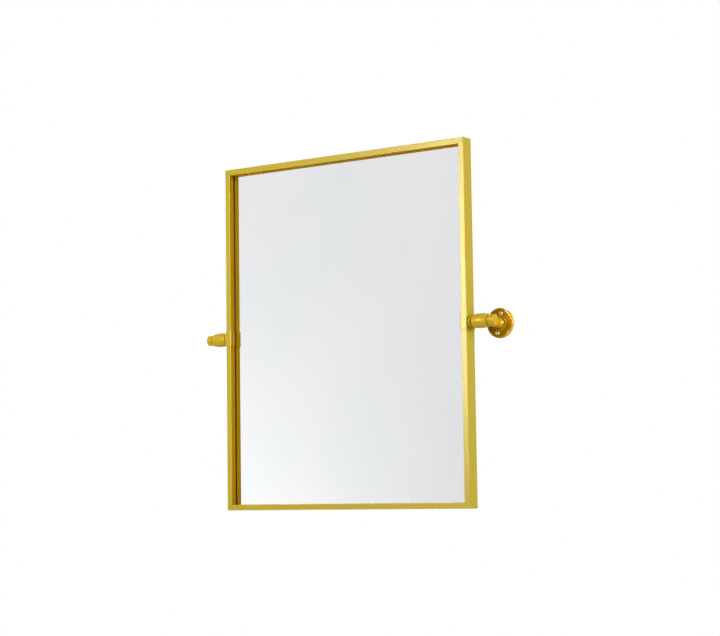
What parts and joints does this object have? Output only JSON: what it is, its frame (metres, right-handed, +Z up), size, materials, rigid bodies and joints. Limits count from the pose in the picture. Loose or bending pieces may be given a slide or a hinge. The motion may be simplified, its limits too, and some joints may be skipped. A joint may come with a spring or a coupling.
{
  "type": "pivot wall mirror",
  "caption": "Rectangular wall mirror in a deep narrow metal frame, tilting between two round-flanged wall brackets with crowned barrel heads and clamp knobs.",
  "frame": {"origin": "on the wall plane, halfway between the two wall flanges, at the height of the pivot axis", "axes": "+X to the viewer's right, +Y into the wall, +Z up"},
  "size_m": [0.6068, 0.0748, 0.61],
  "materials": {
    "frame_gold": "satin gold, fine lengthwise brushing",
    "hardware_gold": "satin gold, turned",
    "mirror_glass": "silvered clear glass",
    "gasket": "matt dark strip",
    "backing_board": "brown hardboard",
    "steel": "zinc-plated",
    "washer_dark": "dark nylon"
  },
  "bodies": {
    "wall_brackets": {"barrel_left": "hardware_gold", "post_left": "hardware_gold", "wall_flange_left": "hardware_gold", "barrel_right": "hardware_gold", "post_right": "hardware_gold", "wall_flange_right": "hardware_gold"},
    "mirror": {"frame_top": "frame_gold", "frame_right": "frame_gold", "frame_bottom": "frame_gold", "frame_left": "frame_gold", "corner_plate_upper_right": "steel", "corner_plate_lower_right": "steel", "corner_plate_lower_left": "steel", "corner_plate_upper_left": "steel", "corner_screw_upper_right_1": "steel", "corner_screw_upper_right_2": "steel", "corner_screw_lower_right_1": "steel", "corner_screw_lower_right_2": "steel", "corner_screw_lower_left_1": "steel", "corner_screw_lower_left_2": "steel", "corner_screw_upper_left_1": "steel", "corner_screw_upper_left_2": "steel", "mirror_glass": "mirror_glass", "gasket_top": "gasket", "gasket_right": "gasket", "gasket_bottom": "gasket", "gasket_left": "gasket", "backing_board": "backing_board", "spring_clip_top_1": "steel", "spring_clip_top_2": "steel", "spring_clip_right_1": "steel", "spring_clip_right_2": "steel", "spring_clip_bottom_1": "steel", "spring_clip_bottom_2": "steel", "spring_clip_left_1": "steel", "spring_clip_left_2": "steel", "saddle_left": "hardware_gold", "nut_plate_left": "steel", "pivot_stud_left": "hardware_gold", "collar_left": "hardware_gold", "friction_washer_left": "washer_dark", "saddle_right": "hardware_gold", "nut_plate_right": "steel", "pivot_stud_right": "hardware_gold", "collar_right": "hardware_gold", "friction_washer_right": "washer_dark"},
    "clamp_washer_left": {"clamp_washer_left": "washer_dark"},
    "clamp_knob_left": {"clamp_knob_left": "hardware_gold"},
    "clamp_washer_right": {"clamp_washer_right": "washer_dark"},
    "clamp_knob_right": {"clamp_knob_right": "hardware_gold"}
  },
  "joints": [
    {"name": "mirror_tilt", "type": "hinge", "parent": "wall_brackets", "child": "mirror", "pos_m": [0, -0.06125, 0], "axis": [1, 0, 0], "range_deg": [-9.5, 9.5]},
    {"name": "knob_travel_left", "type": "slide", "parent": "mirror", "child": "clamp_washer_left", "axis": [-1, 0, 0], "range_m": [0, 0.0013]},
    {"name": "knob_turn_left", "type": "hinge", "parent": "clamp_washer_left", "child": "clamp_knob_left", "pos_m": [-0.2916, -0.06125, 0], "axis": [-1, 0, 0], "range_deg": [0, 360]},
    {"name": "knob_travel_right", "type": "slide", "parent": "mirror", "child": "clamp_washer_right", "axis": [1, 0, 0], "range_m": [0, 0.0013]},
    {"name": "knob_turn_right", "type": "hinge", "parent": "clamp_washer_right", "child": "clamp_knob_right", "pos_m": [0.2916, -0.06125, 0], "axis": [1, 0, 0], "range_deg": [0, 360]}
  ],
  "couplings": [
    {"joint": "knob_travel_left", "follows": "knob_turn_left", "m_per_rad": 0.00019894},
    {"joint": "knob_travel_right", "follows": "knob_turn_right", "m_per_rad": 0.00019894}
  ]
}
